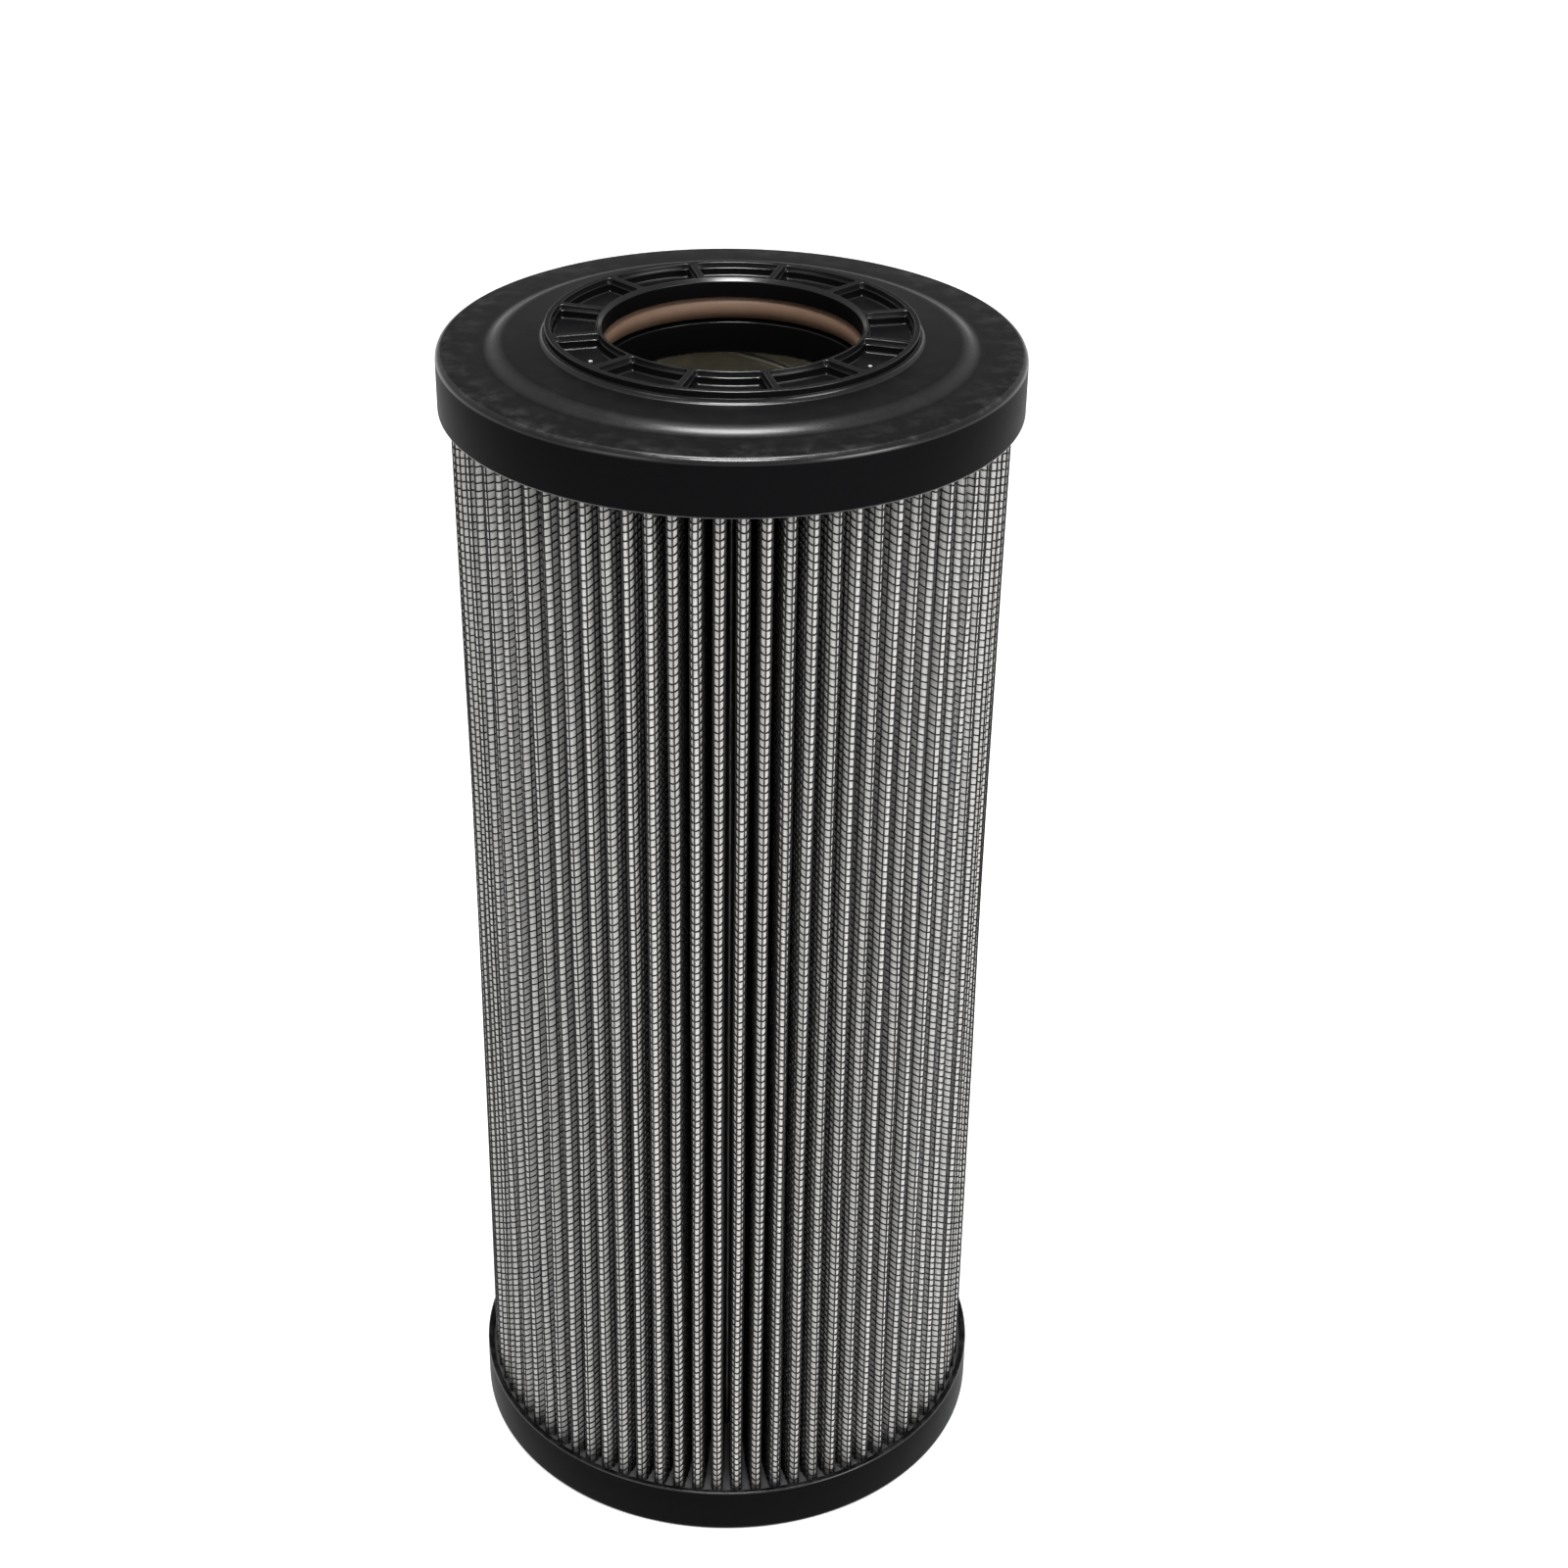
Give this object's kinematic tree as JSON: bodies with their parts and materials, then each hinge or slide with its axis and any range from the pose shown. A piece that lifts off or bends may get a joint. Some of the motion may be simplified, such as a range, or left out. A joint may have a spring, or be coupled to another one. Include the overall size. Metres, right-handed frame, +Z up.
{
  "type": "pleated filter element",
  "caption": "Round pleated filter element with a sealing bore in the top cap, mesh-covered pleats round a perforated tube, and a closed bottom cap.",
  "frame": {"origin": "centre of the bottom cap on the ground it stands on", "axes": "+Z up along the element's axis, out of the bore; -Y is the side that faces the viewer"},
  "size_m": [0.095, 0.095, 0.2171],
  "materials": {
    "cap_plastic": "black moulded glass-filled plastic, satin with fine scuffs",
    "seal_rubber": "brown fluoro rubber, smooth and matt",
    "core_steel": "rolled perforated sheet, bright with an oily tint",
    "coated_mesh": "black epoxy coating on woven wire",
    "glass_media": "off-white glass fibre fleece, matt",
    "potting": "cast adhesive, dark grey"
  },
  "bodies": {
    "root": {"top_end_cap": "cap_plastic", "bore_seal": "seal_rubber", "center_tube": "core_steel", "outer_support_mesh": "coated_mesh", "filter_media": "glass_media", "top_potting": "potting", "bottom_potting": "potting", "bottom_end_cap": "cap_plastic"}
  },
  "joints": []
}
